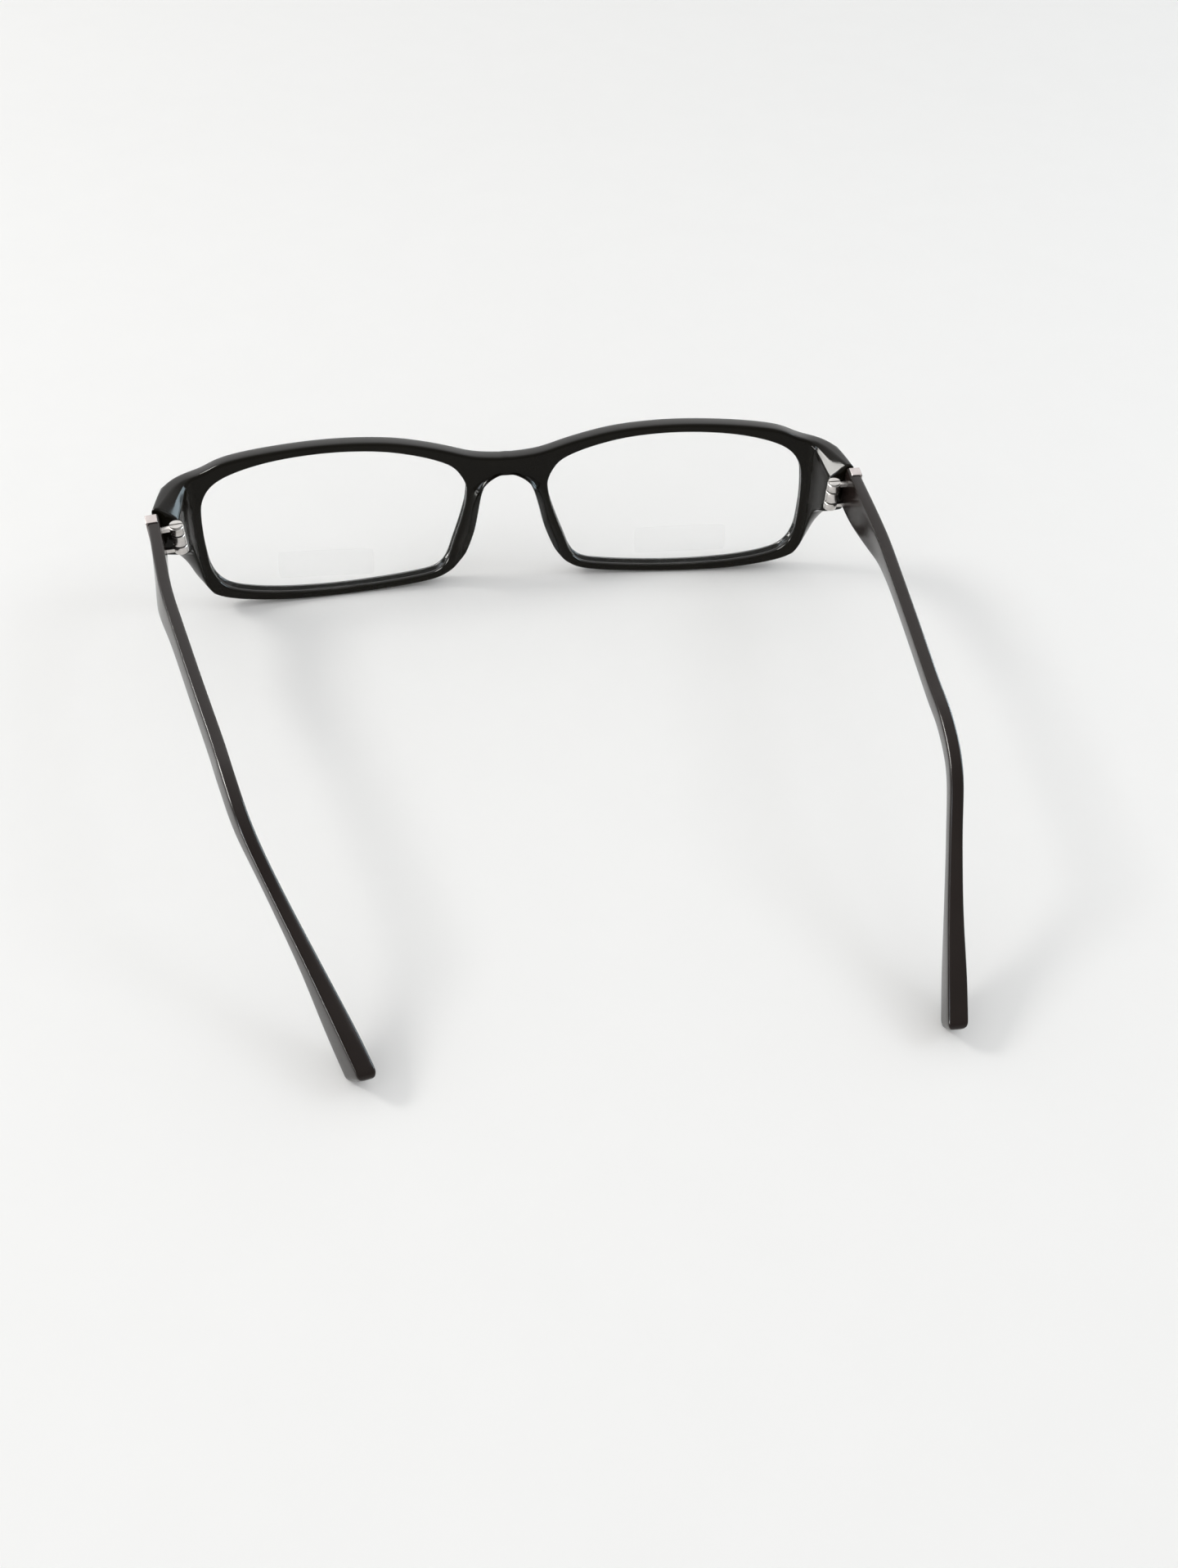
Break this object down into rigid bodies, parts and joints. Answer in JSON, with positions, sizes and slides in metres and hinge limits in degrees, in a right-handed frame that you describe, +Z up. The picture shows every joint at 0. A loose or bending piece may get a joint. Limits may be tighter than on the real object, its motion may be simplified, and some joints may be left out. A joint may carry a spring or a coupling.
{
  "type": "horn-rimmed eyeglasses",
  "caption": "Rectangular full-rim eyeglasses with clear display lenses, moulded nose pads, barrel hinges, banded temples and drop-down ear pieces.",
  "frame": {"origin": "under the middle of the object's box, on the surface that the rim bottoms and the temple tips stand on", "axes": "+X to the wearer's left, +Y from the front back towards the temple tips, +Z up"},
  "size_m": [0.139, 0.129, 0.0344],
  "materials": {
    "frame_plastic": "satin black moulded plastic",
    "temple_plastic": "satin black moulded plastic",
    "lens_clear": "clear uncoated display lens",
    "label_film": "thin clear film, blank",
    "hinge_metal": "bright nickel silver",
    "screw_metal": "bright plated steel",
    "band_metal": "polished bright metal"
  },
  "bodies": {
    "front": {"frame_front": "frame_plastic", "lens_left": "lens_clear", "lens_right": "lens_clear", "lens_label_left": "label_film", "lens_label_right": "label_film", "front_hinge_left": "hinge_metal", "front_hinge_right": "hinge_metal"},
    "left_temple": {"temple_left": "temple_plastic", "temple_hinge_left": "hinge_metal", "hinge_screw_left": "screw_metal", "temple_band_left": "band_metal"},
    "right_temple": {"temple_right": "temple_plastic", "temple_hinge_right": "hinge_metal", "hinge_screw_right": "screw_metal", "temple_band_right": "band_metal"}
  },
  "joints": [
    {"name": "left_temple_fold", "type": "hinge", "parent": "front", "child": "left_temple", "pos_m": [0.06373, -0.04678, 0.02526], "axis": [0, 0, 1], "range_deg": [-9, 73]},
    {"name": "right_temple_fold", "type": "hinge", "parent": "front", "child": "right_temple", "pos_m": [-0.06373, -0.04678, 0.02526], "axis": [0, 0, -1], "range_deg": [0, 89]}
  ]
}
